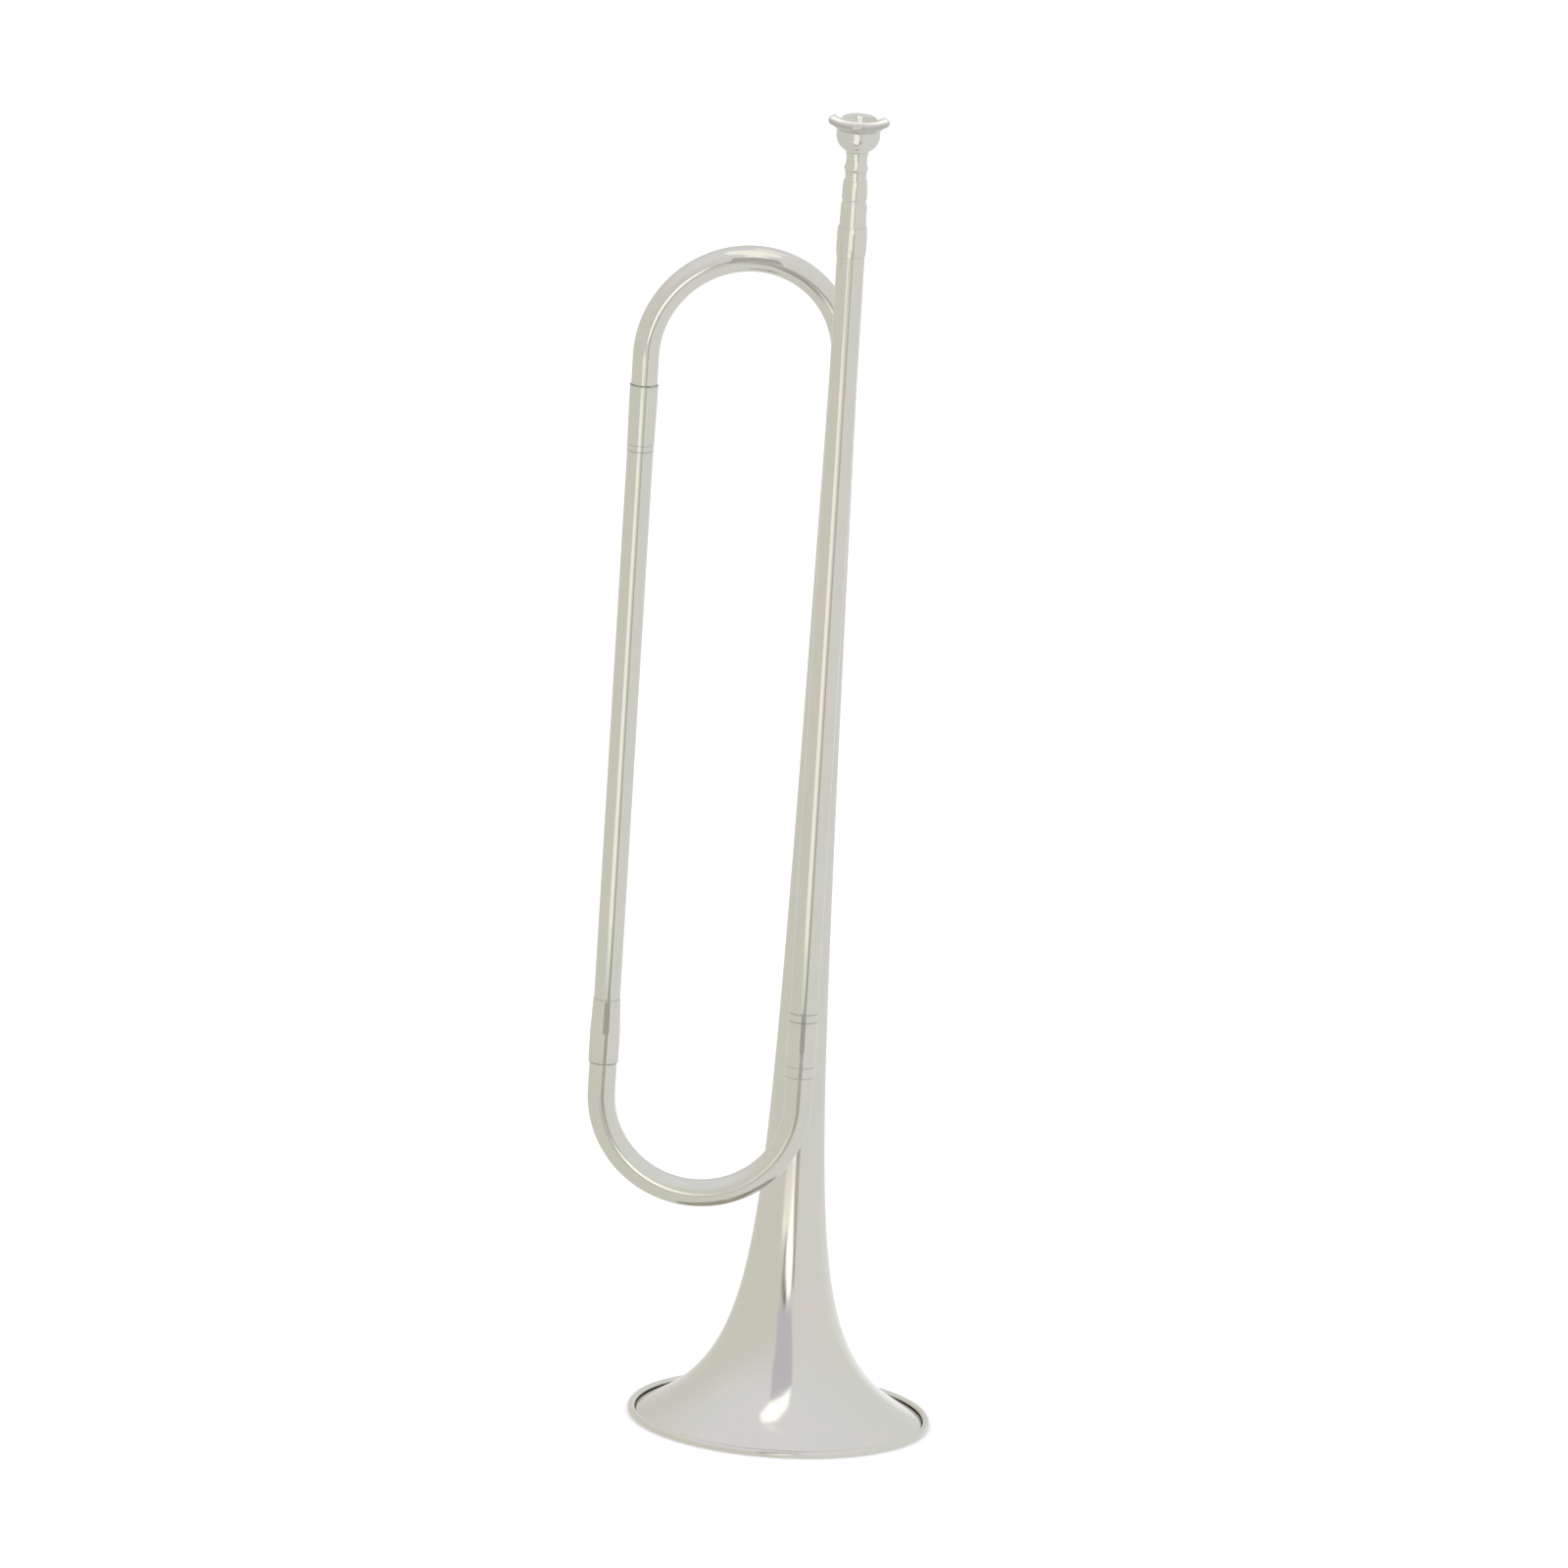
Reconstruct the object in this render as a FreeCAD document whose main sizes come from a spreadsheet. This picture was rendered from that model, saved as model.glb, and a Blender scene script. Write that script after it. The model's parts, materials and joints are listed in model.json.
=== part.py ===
import FreeCAD, Part
import math
import os
import Sketcher

# A bugle that stands on its bell. Millimetres, +Z up, origin at the centre of the bell's mouth in
# the plane of its rim, bell axis along Z. The lead pipe runs in front of the bell (-Y), the side
# tube at the left (-X), and the mouthpiece is on top. The air goes down the lead pipe, round the
# lower bow, up the side tube, round the upper bow and down through the bell.

SIZES = [
    # Tubing: outer radii of the three gauges of tube, and the wall that all of them share.
    ("tube_wall", 0.5),
    ("lead_radius", 5.85),
    ("side_radius", 5.5),
    ("slide_radius", 5.75),
    # Where the tubes stand, seen from above.
    ("lead_forward", 20),
    ("side_forward", 16),
    ("side_left", 82.3),
    # Heights of the two bows' arc centres.
    ("upper_bow_height", 458),
    ("lower_bow_height", 141.4),
    # Bell: mean curve of the outside, r = stem + taper * (height left) + flare * (1 + z/scale)^-power.
    ("bell_stem_radius", 5.55),
    ("bell_taper", 0.0106),
    ("bell_curve_height", 457),
    ("bell_flare_scale", 62.5),
    ("bell_flare_power", 2.62),
    ("bell_wall", 0.5),
    ("bell_seam_height", 78),
    ("bell_shoulder_height", 417),
    ("bell_top_height", 432),
    # Rim: the sheet is rolled outwards over a wire.
    ("rim_radius", 63.5),
    ("rim_wire_radius", 1),
    ("rim_land_depth", 0.05),
    ("rim_curl_end", 172),
    # Mouthpiece, heights from the tip of its shank.
    ("shank_tip_height", 514.5),
    ("shank_tip_radius", 3.775),
    ("shank_taper", 0.05),
    ("shank_end", 26.7),
    ("shank_shoulder", 0.12),
    ("ring_foot", 28.2),
    ("ring_radius", 4.8),
    ("ring_low", 28.9),
    ("ring_high", 30.4),
    ("ring_curve", 1.1),
    ("waist_low", 31.3),
    ("waist_high", 35.8),
    ("waist_radius", 4.55),
    ("waist_spread", 0.15),
    ("waist_curve", 9.4),
    ("bowl_cove", 1.9),
    ("bowl_low", 37.5),
    ("bowl_low_radius", 6),
    ("bowl_high", 42.8),
    ("bowl_radius", 9.15),
    ("bowl_curve", 7.4),
    ("flange_low", 45.7),
    ("flange_cove", 8),
    ("flange_edge_low", 48.3),
    ("flange_edge_high", 50),
    ("flange_curve", 1.2),
    ("flange_bulge", 0.35),
    ("mouth_radius", 12.85),
    ("mouth_top", 51),
    ("mouth_curve", 3.6),
    ("lip_radius", 10.4),
    ("lip_curve", 2.9),
    ("cup_radius", 8.1),
    ("cup_edge", 49.7),
    ("cup_curve", 9.6),
    ("cup_floor", 41.2),
    ("throat_radius", 1.85),
    ("throat_low", 37.4),
    ("backbore_radius", 3.3),
    # Mouthpiece receiver and the ferrule under it.
    ("receiver_bottom_height", 512.5),
    ("receiver_radius", 5.6),
    ("receiver_narrowing", 0.1),
    ("receiver_groove_height", 529.9),
    ("groove_depth", 0.3),
    ("groove_half_width", 0.5),
    ("groove_slope_below", 1.6),
    ("groove_slope_above", 1.2),
    ("receiver_collar_radius", 5.28),
    ("receiver_nose", 3),
    ("receiver_top_radius", 4.95),
    ("receiver_top_height", 539),
    ("receiver_lip_curve", 0.28),
    ("receiver_lip_drop", 0.1),
    ("seat_gap", 0.04),
    ("seat_relief", 1.4),
    ("seat_relief_drop", 0.2),
    ("receiver_ferrule_low", 506.6),
    ("receiver_ferrule_high", 519.2),
    ("receiver_ferrule_radius", 6.3),
    ("receiver_ferrule_bevel", 2.4),
    # Tapered ferrules at the upper bow.
    ("upper_ferrule_low", 417.4),
    ("upper_ferrule_full", 437.7),
    ("upper_ferrule_high", 445.6),
    ("upper_joint_height", 432),
    ("left_ferrule_radius", 5.92),
    ("left_ferrule_thin", 5.62),
    ("right_ferrule_radius", 6.2),
    ("right_ferrule_thin", 5.95),
    # Tuning slide: two sleeves fixed to the upper tubes, the lower bow slides in them.
    ("sleeve_low", 154),
    ("sleeve_full", 167.5),
    ("sleeve_high", 181.5),
    ("sleeve_radius", 6.28),
    ("tube_end_bevel", 0.18),
    ("slide_gap", 0.05),
    ("fixed_tube_end", 173.5),
    ("slide_leg_top", 172),
    # Braces between the lead pipe and the bell.
    ("upper_brace_height", 398),
    ("lower_brace_height", 226),
    ("foot_radius", 4.6),
    ("foot_thickness", 0.8),
    ("post_radius", 1.9),
    ("post_bead", 2.7),
    ("post_overlap", 1.5),
]


class Length:
    """A size as text for a FreeCAD expression, together with its value in millimetres."""

    def __init__(self, text, value):
        self.text = text
        self.value = value

    def __add__(self, other):
        other = as_length(other)
        return Length("(" + self.text + " + " + other.text + ")", self.value + other.value)

    def __sub__(self, other):
        other = as_length(other)
        return Length("(" + self.text + " - " + other.text + ")", self.value - other.value)

    def __mul__(self, factor):
        factor = as_length(factor)
        return Length("(" + self.text + " * " + factor.text + ")", self.value * factor.value)

    def __truediv__(self, divisor):
        return Length("(" + self.text + " / " + str(divisor) + ")", self.value / divisor)


def as_length(number):
    if isinstance(number, Length):
        return number
    return Length(str(number), float(number))


def half_span(across, along):
    """Half the distance between two tubes that stand this far apart across and along."""
    text = "(sqrt(" + across.text + "^2 + " + along.text + "^2) / 2)"
    return Length(text, math.hypot(across.value, along.value) / 2)


doc = FreeCAD.newDocument("bugle")
sheet = doc.addObject("Spreadsheet::Sheet", "Sizes")
for row, (alias, number) in enumerate(SIZES, start=1):
    sheet.set("A" + str(row), alias)
    sheet.set("B" + str(row), str(number))
    sheet.setAlias("B" + str(row), alias)
doc.recompute()

ZERO = as_length(0)
parts = {}


def size(alias):
    return Length("Sizes." + alias, float(sheet.get(alias)))


def keep(label, thing):
    """Registers an object of the document as a finished piece."""
    thing.Label = label
    parts[label] = thing
    return thing


def place(thing, across=ZERO, along=ZERO, height=ZERO):
    for axis, length in (("x", across), ("y", along), ("z", height)):
        thing.setExpression("Placement.Base." + axis, length.text)


def origin_plane(body, role):
    return [item for item in body.Origin.OriginFeatures if item.Role == role][0]


def new_sketch(body, name, role):
    sketch = body.newObject("Sketcher::SketchObject", name)
    sketch.AttachmentSupport = [(origin_plane(body, role), "")]
    sketch.MapMode = "FlatFace"
    return sketch


def constrain(sketch, length, kind, *places):
    """Adds one driving dimension to a sketch and binds it to the sheet."""
    index = sketch.addConstraint(Sketcher.Constraint(kind, *places, float(length.value)))
    sketch.setExpression("Constraints[" + str(index) + "]", length.text)


def circle(sketch, radius, centre=ZERO):
    """A circle whose centre is on the sketch's X axis, `centre` to the left of its origin."""
    middle = FreeCAD.Vector(-centre.value, 0, 0)
    normal = FreeCAD.Vector(0, 0, 1)
    index = sketch.addGeometry(Part.Circle(middle, normal, radius.value), False)
    constrain(sketch, radius, "Radius", index)
    if centre is ZERO:
        sketch.addConstraint(Sketcher.Constraint("Coincident", index, 3, -1, 1))
    else:
        sketch.addConstraint(Sketcher.Constraint("PointOnObject", index, 3, -1))
        constrain(sketch, centre, "DistanceX", index, 3, -1, 1)


def arc_edge(start, end, radius, side):
    """The short arc from start to end; its centre is to the left (+1) or right (-1) of the way."""
    chord = end - start
    across = FreeCAD.Vector(-chord.y, chord.x, 0).normalize()
    rise = math.sqrt(radius ** 2 - (chord.Length / 2) ** 2)
    centre = (start + end) * 0.5 + across * (rise * side)
    first, last = (start, end) if side > 0 else (end, start)
    begin = math.atan2(first.y - centre.y, first.x - centre.x)
    finish = math.atan2(last.y - centre.y, last.x - centre.x)
    return Part.ArcOfCircle(Part.Circle(centre, FreeCAD.Vector(0, 0, 1), radius), begin, finish)


def outline(sketch, corners):
    """A closed outline. A corner is (radius, height), or (radius, height, arc radius, side) where
    the edge that leaves it is an arc."""
    places = [FreeCAD.Vector(corner[0].value, corner[1].value, 0) for corner in corners]
    ends = []
    for index, corner in enumerate(corners):
        start = places[index]
        end = places[(index + 1) % len(corners)]
        if len(corner) == 2:
            sketch.addGeometry(Part.LineSegment(start, end), False)
            ends.append((1, 2))
        else:
            radius, side = corner[2], corner[3]
            sketch.addGeometry(arc_edge(start, end, radius.value, side), False)
            ends.append((1, 2) if side > 0 else (2, 1))
    for index, corner in enumerate(corners):
        following = (index + 1) % len(corners)
        joined = Sketcher.Constraint("Coincident", index, ends[index][1], following, ends[following][0])
        sketch.addConstraint(joined)
        constrain(sketch, corner[0], "DistanceX", -1, 1, index, ends[index][0])
        constrain(sketch, corner[1], "DistanceY", -1, 1, index, ends[index][0])
        if len(corner) > 2:
            constrain(sketch, corner[2], "Radius", index)


def turned(label, corners):
    """A piece turned about its own Z axis from one closed outline."""
    body = doc.addObject("PartDesign::Body", label + "_body")
    sketch = new_sketch(body, label + "_outline", "XZ_Plane")
    outline(sketch, corners)
    turn = body.newObject("PartDesign::Revolution", label + "_turn")
    turn.Profile = sketch
    turn.ReferenceAxis = (sketch, ["V_Axis"])
    turn.Angle = 360
    return body


def straight_tube(label, radius, wall, length):
    """A straight length of tube, padded upwards from its lower end."""
    body = doc.addObject("PartDesign::Body", label + "_body")
    section = new_sketch(body, label + "_section", "XY_Plane")
    circle(section, radius)
    circle(section, radius - wall)
    pad = body.newObject("PartDesign::Pad", label + "_length")
    pad.Profile = section
    pad.setExpression("Length", length.text)
    return body


def bow(label, radius, wall, bend, left_leg, right_leg, upward):
    """A U of tube in its own XZ plane: half a circle of radius `bend` about the origin, with a
    straight leg at each end. `upward` is +1 for a bow that arches up, -1 for one that hangs."""
    body = doc.addObject("PartDesign::Body", label + "_body")
    path = new_sketch(body, label + "_path", "XZ_Plane")
    across = FreeCAD.Vector(bend.value, 0, 0)
    left_end = FreeCAD.Vector(-bend.value, -upward * left_leg.value, 0)
    right_end = FreeCAD.Vector(bend.value, -upward * right_leg.value, 0)
    full = Part.Circle(FreeCAD.Vector(0, 0, 0), FreeCAD.Vector(0, 0, 1), bend.value)
    path.addGeometry(Part.LineSegment(left_end, -across), False)
    if upward > 0:
        path.addGeometry(Part.ArcOfCircle(full, 0, math.pi), False)
        left_side, right_side = 2, 1
    else:
        path.addGeometry(Part.ArcOfCircle(full, math.pi, 2 * math.pi), False)
        left_side, right_side = 1, 2
    path.addGeometry(Part.LineSegment(across, right_end), False)
    path.addConstraint(Sketcher.Constraint("Coincident", 1, 3, -1, 1))
    path.addConstraint(Sketcher.Constraint("Coincident", 0, 2, 1, left_side))
    path.addConstraint(Sketcher.Constraint("Coincident", 2, 1, 1, right_side))
    path.addConstraint(Sketcher.Constraint("PointOnObject", 1, 1, -1))
    path.addConstraint(Sketcher.Constraint("PointOnObject", 1, 2, -1))
    path.addConstraint(Sketcher.Constraint("Vertical", 0))
    path.addConstraint(Sketcher.Constraint("Vertical", 2))
    constrain(path, bend, "Radius", 1)
    if upward > 0:
        constrain(path, left_leg, "DistanceY", 0, 1, -1, 1)
        constrain(path, right_leg, "DistanceY", 2, 2, -1, 1)
    else:
        constrain(path, left_leg, "DistanceY", -1, 1, 0, 1)
        constrain(path, right_leg, "DistanceY", -1, 1, 2, 2)
    for name, kind, reach in (
        ("outside", "PartDesign::AdditivePipe", radius),
        ("bore", "PartDesign::SubtractivePipe", radius - wall),
    ):
        section = new_sketch(body, label + "_" + name + "_section", "XY_Plane")
        drop = left_leg * (-upward)
        section.setExpression("AttachmentOffset.Base.z", drop.text)
        circle(section, reach, bend)
        doc.recompute()
        pipe = body.newObject(kind, label + "_" + name)
        pipe.Profile = section
        pipe.Spine = path
        doc.recompute()
    return body


def primitive(kind, label, sizes):
    solid = doc.addObject("Part::" + kind, label)
    for name, length in sizes.items():
        solid.setExpression(name, length.text)
    return solid


def combine(kind, label, base, tool):
    result = doc.addObject("Part::" + kind, label)
    result.Base = base
    result.Tool = tool
    return result


# Bell

bell = {alias: size(alias).value for alias, number in SIZES if alias.startswith(("bell_", "rim_"))}
curl_radius = bell["rim_wire_radius"] + bell["bell_wall"]
curl_across = bell["rim_radius"] - curl_radius
curl_height = curl_radius - bell["rim_land_depth"]


def stem_part(height):
    return bell["bell_stem_radius"] + bell["bell_taper"] * (bell["bell_curve_height"] - height)


def flare_factor(height):
    return (1 + height / bell["bell_flare_scale"]) ** -bell["bell_flare_power"]


def slope_at(height, strength):
    scale = bell["bell_flare_scale"]
    falling = bell["bell_flare_power"] * strength / scale / (1 + height / scale)
    return -bell["bell_taper"] - falling * flare_factor(height)


def meet_curl():
    """Where the bell's wall runs into the rim's curl without a kink: the wall's lean from level
    there, the height, and the strength of flare that brings the outside to that point."""
    lean = math.radians(25)
    rounds = 30
    for turn in range(rounds):
        across = curl_across - bell["rim_wire_radius"] * math.sin(lean)
        height = curl_height - bell["rim_wire_radius"] * math.cos(lean)
        strength = (across - stem_part(height)) / flare_factor(height)
        lean = math.atan(-1 / slope_at(height, strength))
    return lean, height, strength


rim_lean, sheet_end_height, flare_strength = meet_curl()


def bell_radius(height):
    return stem_part(height) + flare_strength * flare_factor(height)


def bell_slope(height):
    return slope_at(height, flare_strength)


def bell_point(height, offset):
    """A point `offset` outside the bell's outer surface, measured square to it."""
    slope = bell_slope(height)
    along = math.hypot(1, slope)
    across = bell_radius(height) + offset / along
    return FreeCAD.Vector(across, 0, height - offset * slope / along)


def bell_curve(low, high, offset):
    """The bell's curve between two heights, with closer points where it turns faster."""
    spans = 14
    ratio = (bell["bell_flare_scale"] + high) / (bell["bell_flare_scale"] + low)
    heights = [
        (bell["bell_flare_scale"] + low) * ratio ** (step / spans) - bell["bell_flare_scale"]
        for step in range(spans + 1)
    ]
    curve = Part.BSplineCurve()
    curve.interpolate([bell_point(height, offset) for height in heights])
    return curve.toShape()


def spun(label, edges):
    """A solid of revolution about the bell's axis from a closed loop of edges."""
    wire = Part.Wire(Part.__sortEdges__(edges))
    solid = Part.Face(wire).revolve(FreeCAD.Vector(0, 0, 0), FreeCAD.Vector(0, 0, 1), 360)
    feature = doc.addObject("Part::Feature", label + "_solid")
    feature.Shape = solid
    feature.Placement = FreeCAD.Placement()
    return feature


def line(start, end):
    return Part.LineSegment(start, end).toShape()


def polyline(*points):
    return [line(start, end) for start, end in zip(points, points[1:])]


def around_curl(radius, degrees):
    angle = math.radians(degrees)
    across = curl_across + radius * math.cos(angle)
    return FreeCAD.Vector(across, 0, curl_height + radius * math.sin(angle))


def curl_arc(radius, begin, end):
    middle = around_curl(radius, (begin + end) / 2)
    return Part.Arc(around_curl(radius, begin), middle, around_curl(radius, end)).toShape()


def bell_flare():
    """The spun flare: its wall, and the curl that goes under, outside and over the rim wire. The
    curl's underside is flattened to a narrow land, on which the bugle stands."""
    wall = bell["bell_wall"]
    wire = bell["rim_wire_radius"]
    seam = bell["bell_seam_height"]
    joint = -90 - math.degrees(rim_lean)
    land = math.degrees(math.acos(curl_height / curl_radius))
    end = bell["rim_curl_end"]
    outside = bell_curve(sheet_end_height, seam, 0)
    inside = bell_curve(sheet_end_height, seam, -wall)
    edges = [
        outside,
        line(bell_point(seam, 0), bell_point(seam, -wall)),
        inside,
        curl_arc(curl_radius, joint, -90 - land),
        line(around_curl(curl_radius, -90 - land), around_curl(curl_radius, -90 + land)),
        curl_arc(curl_radius, -90 + land, end),
        line(around_curl(curl_radius, end), around_curl(wire, end)),
        curl_arc(wire, joint, end),
    ]
    return spun("bell_flare", edges)


def bell_stem():
    """The long taper above the seam. Its top is drawn down to the bow's gauge behind a shoulder,
    so that the ferrule over the joint is flush with it."""
    wall = bell["bell_wall"]
    seam = bell["bell_seam_height"]
    shoulder = bell["bell_shoulder_height"]
    top = bell["bell_top_height"]
    neck = size("side_radius").value
    inner_shoulder = shoulder - 3 * wall
    edges = [
        bell_curve(seam, shoulder, 0),
        bell_curve(seam, inner_shoulder, -wall),
        line(bell_point(seam, 0), bell_point(seam, -wall)),
    ]
    edges += polyline(
        bell_point(shoulder, 0),
        FreeCAD.Vector(neck, 0, shoulder),
        FreeCAD.Vector(neck, 0, top),
        FreeCAD.Vector(neck - wall, 0, top),
        FreeCAD.Vector(neck - wall, 0, shoulder),
        bell_point(inner_shoulder, -wall),
    )
    return spun("bell_stem", edges)


keep("bell_flare", bell_flare())
keep("bell_stem", bell_stem())

rim_wire = primitive("Torus", "bell_rim_wire_ring", {
    "Radius1": size("rim_radius") - size("rim_wire_radius") - size("bell_wall"),
    "Radius2": size("rim_wire_radius"),
})
place(rim_wire, height=size("rim_wire_radius") + size("bell_wall") - size("rim_land_depth"))
keep("bell_rim_wire", rim_wire)


# Straight tubes and bows

lead_along = ZERO - size("lead_forward")
side_across = ZERO - size("side_left")
side_along = ZERO - size("side_forward")

leadpipe = straight_tube(
    "leadpipe", size("lead_radius"), size("tube_wall"),
    size("receiver_bottom_height") - size("fixed_tube_end"),
)
place(leadpipe, along=lead_along, height=size("fixed_tube_end"))
keep("leadpipe", leadpipe)

side_tube = straight_tube(
    "side_tube", size("side_radius"), size("tube_wall"),
    size("upper_joint_height") - size("fixed_tube_end"),
)
place(side_tube, side_across, side_along, size("fixed_tube_end"))
keep("side_tube", side_tube)

upper_leg = size("upper_bow_height") - size("upper_joint_height")
upper_bow = bow(
    "upper_bow", size("side_radius"), size("tube_wall"),
    half_span(size("side_left"), size("side_forward")), upper_leg, upper_leg, upward=1,
)
place(upper_bow, side_across / 2, side_along / 2, size("upper_bow_height"))
upper_bow.setExpression("Placement.Rotation.Angle", "atan(Sizes.side_forward / Sizes.side_left)")
keep("upper_bow", upper_bow)

slide_leg = size("slide_leg_top") - size("lower_bow_height")
leg_offset = size("lead_forward") - size("side_forward")
tuning_bow = bow(
    "tuning_bow", size("slide_radius"), size("tube_wall"),
    half_span(size("side_left"), leg_offset), slide_leg, slide_leg, upward=-1,
)
place(tuning_bow, side_across / 2, (side_along + lead_along) / 2, size("lower_bow_height"))
tuning_bow.setExpression(
    "Placement.Rotation.Angle", "atan((Sizes.side_forward - Sizes.lead_forward) / Sizes.side_left)"
)
keep("tuning_bow", tuning_bow)


# Sleeves of the tuning slide


def slide_sleeve(label, fixed_radius):
    """A sleeve from its lower end at local height 0: a running bore for the bow's leg, then a bore
    that grips the fixed tube, and outside a long taper down to that tube."""
    reach = size("sleeve_radius")
    running = size("slide_radius") + size("slide_gap")
    step = size("fixed_tube_end") - size("sleeve_low")
    full = size("sleeve_full") - size("sleeve_low")
    top = size("sleeve_high") - size("sleeve_low")
    bevel = size("tube_end_bevel")
    corners = [
        (running, ZERO),
        (reach - bevel, ZERO),
        (reach, bevel),
        (reach, full),
        (size(fixed_radius) + bevel, top),
        (size(fixed_radius), top),
        (size(fixed_radius), step),
        (running, step),
    ]
    return turned(label, corners)


lead_sleeve = slide_sleeve("leadpipe_slide_sleeve", "lead_radius")
place(lead_sleeve, along=lead_along, height=size("sleeve_low"))
keep("leadpipe_slide_sleeve", lead_sleeve)

side_sleeve = slide_sleeve("side_slide_sleeve", "side_radius")
place(side_sleeve, side_across, side_along, size("sleeve_low"))
keep("side_slide_sleeve", side_sleeve)


# Ferrules


def upper_ferrule(label, thin, thick):
    """A ferrule over a butt joint, thick at the bow's end and tapering away from it."""
    length = size("upper_ferrule_high") - size("upper_ferrule_low")
    full = size("upper_ferrule_full") - size("upper_ferrule_low")
    bevel = size("tube_end_bevel")
    corners = [
        (size("side_radius"), ZERO),
        (size(thin), ZERO),
        (size(thick), full),
        (size(thick), length - bevel),
        (size(thick) - bevel, length),
        (size("side_radius"), length),
    ]
    return turned(label, corners)


left_ferrule = upper_ferrule("upper_bow_ferrule_left", "left_ferrule_thin", "left_ferrule_radius")
place(left_ferrule, side_across, side_along, size("upper_ferrule_low"))
keep("upper_bow_ferrule_left", left_ferrule)

right_length = size("upper_ferrule_high") - size("bell_shoulder_height")
right_ferrule = turned("upper_bow_ferrule_right", [
    (size("side_radius"), ZERO),
    (size("right_ferrule_radius"), ZERO),
    (size("right_ferrule_thin"), right_length),
    (size("side_radius"), right_length),
])
place(right_ferrule, height=size("bell_shoulder_height"))
keep("upper_bow_ferrule_right", right_ferrule)

ring_length = size("receiver_ferrule_high") - size("receiver_ferrule_low")
ring_bevel = size("receiver_ferrule_bevel")
ring_end_radius = size("lead_radius") + size("tube_end_bevel")
receiver_ferrule = turned("receiver_ferrule", [
    (size("lead_radius"), ZERO),
    (ring_end_radius, ZERO),
    (size("receiver_ferrule_radius"), ring_bevel),
    (size("receiver_ferrule_radius"), ring_length - ring_bevel),
    (ring_end_radius, ring_length),
    (size("lead_radius"), ring_length),
])
place(receiver_ferrule, along=lead_along, height=size("receiver_ferrule_low"))
keep("receiver_ferrule", receiver_ferrule)


# Mouthpiece and its receiver


def shank_radius(height):
    """The shank's radius at a height above its tip."""
    return size("shank_tip_radius") + height * (size("shank_taper") / 2)


def mouthpiece():
    """One turned piece: the shank, a ring and a waist above it, the bowl, the flange and rim round
    the mouth, and inside it the cup, the throat and the backbore."""
    shank = size("shank_end")
    edge = size("mouth_radius") - size("flange_bulge")
    corners = [
        (size("backbore_radius"), ZERO),
        (size("shank_tip_radius"), ZERO),
        (shank_radius(shank), shank),
        (shank_radius(shank) + size("shank_shoulder"), size("ring_foot")),
        (size("ring_radius"), size("ring_low"), size("ring_curve"), 1),
        (size("ring_radius"), size("ring_high")),
        (size("waist_radius"), size("waist_low"), size("waist_curve"), -1),
        (size("waist_radius") + size("waist_spread"), size("waist_high"), size("bowl_cove"), -1),
        (size("bowl_low_radius"), size("bowl_low"), size("bowl_curve"), 1),
        (size("bowl_radius"), size("bowl_high")),
        (size("bowl_radius"), size("flange_low"), size("flange_cove"), -1),
        (edge, size("flange_edge_low"), size("flange_curve"), 1),
        (edge, size("flange_edge_high"), size("mouth_curve"), 1),
        (size("lip_radius"), size("mouth_top"), size("lip_curve"), 1),
        (size("cup_radius"), size("cup_edge"), size("cup_curve"), -1),
        (size("throat_radius"), size("cup_floor")),
        (size("throat_radius"), size("throat_low")),
    ]
    return turned("mouthpiece", corners)


mouthpiece_body = mouthpiece()
place(mouthpiece_body, along=lead_along, height=size("shank_tip_height"))
keep("mouthpiece", mouthpiece_body)


def mouthpiece_receiver():
    """The tapered socket: a spigot in the ferrule, a slow taper with one turned groove, a collar
    at the mouth, and a bore that follows the shank."""
    bottom = size("receiver_bottom_height")
    tip = size("shank_tip_height") - bottom
    relief = tip - size("seat_relief_drop")
    relief_radius = size("shank_tip_radius") + size("seat_relief")
    top = size("receiver_top_height") - bottom
    groove = size("receiver_groove_height") - bottom
    groove_half = size("groove_half_width")
    collar = size("receiver_collar_radius")
    spigot = size("receiver_ferrule_high") - bottom
    gap = size("seat_gap")
    corners = [
        (relief_radius, ZERO),
        (size("lead_radius"), ZERO),
        (size("lead_radius"), spigot),
        (size("receiver_radius"), spigot),
        (size("receiver_radius") - size("receiver_narrowing"), groove - size("groove_slope_below")),
        (collar - size("groove_depth"), groove - groove_half),
        (collar - size("groove_depth"), groove + groove_half),
        (collar, groove + size("groove_slope_above")),
        (collar, top - size("receiver_nose")),
        (size("receiver_top_radius"), top, size("receiver_lip_curve"), 1),
        (shank_radius(top - tip) + gap, top - size("receiver_lip_drop")),
        (shank_radius(relief - tip) + gap, relief),
        (relief_radius, relief),
    ]
    return turned("mouthpiece_receiver", corners)


receiver = mouthpiece_receiver()
place(receiver, along=lead_along, height=size("receiver_bottom_height"))
keep("mouthpiece_receiver", receiver)


# Braces between the lead pipe and the bell: a turned post with a curved foot at each end


def cylinder(label, radius, length, across, along, height):
    solid = primitive("Cylinder", label, {"Radius": radius, "Height": length})
    place(solid, across, along, height)
    return solid


def bell_band(label, height, offset):
    """The bell filled solid over a short band, its surface moved out by an offset."""
    reach = 2 * size("foot_radius").value
    low = height - reach
    high = height + reach
    edges = [bell_curve(low, high, offset)]
    edges += polyline(
        bell_point(low, offset),
        FreeCAD.Vector(0, 0, bell_point(low, offset).z),
        FreeCAD.Vector(0, 0, bell_point(high, offset).z),
        bell_point(high, offset),
    )
    return spun(label, edges)


def foot_disc(label, height):
    """A disc across the gap, its axis along Y; it gives a foot its round outline."""
    sizes = {"Radius": size("foot_radius"), "Height": size("lead_forward")}
    disc = primitive("Cylinder", label, sizes)
    place(disc, along=lead_along, height=size(height))
    disc.Placement.Rotation = FreeCAD.Rotation(FreeCAD.Vector(1, 0, 0), -90)
    return disc


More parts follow.
